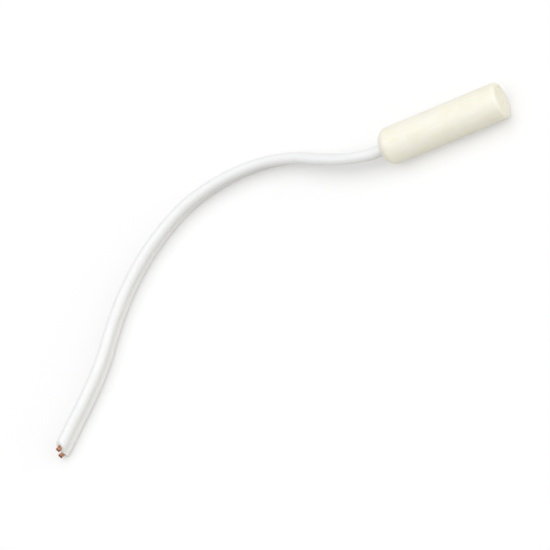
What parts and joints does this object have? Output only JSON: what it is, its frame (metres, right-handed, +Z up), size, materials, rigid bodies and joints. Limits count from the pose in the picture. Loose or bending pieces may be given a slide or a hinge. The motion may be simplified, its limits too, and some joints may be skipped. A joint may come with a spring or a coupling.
{
  "type": "defrost sensor",
  "caption": "Temperature sensor sealed in a slim round plastic capsule, with a short flat twin lead cut off bare at its far end.",
  "frame": {"origin": "on the surface that the capsule lies on, under the middle of its length", "axes": "+X along the capsule towards its resin-filled open end, +Z up from the surface, the lead leaves towards -X"},
  "size_m": [0.102, 0.0434, 0.007],
  "materials": {
    "housing_plastic": "satin moulded plastic",
    "potting_resin": "dull cast resin",
    "lead_insulation": "smooth soft plastic",
    "copper": "drawn copper strands",
    "solder": "bright solder",
    "sleeve_plastic": "black sleeve",
    "tinned_wire": "tinned wire",
    "chip_ceramic": "dark ceramic",
    "coating_resin": "black coating"
  },
  "bodies": {
    "root": {"housing": "housing_plastic", "potting_compound": "potting_resin", "lead_jacket": "lead_insulation", "conductor_a": "copper", "conductor_b": "copper", "solder_joint_a": "solder", "solder_joint_b": "solder", "insulating_sleeve_a": "sleeve_plastic", "insulating_sleeve_b": "sleeve_plastic", "thermistor_wire_a": "tinned_wire", "thermistor_wire_b": "tinned_wire", "thermistor_chip": "chip_ceramic", "thermistor_coating": "coating_resin"}
  },
  "joints": []
}
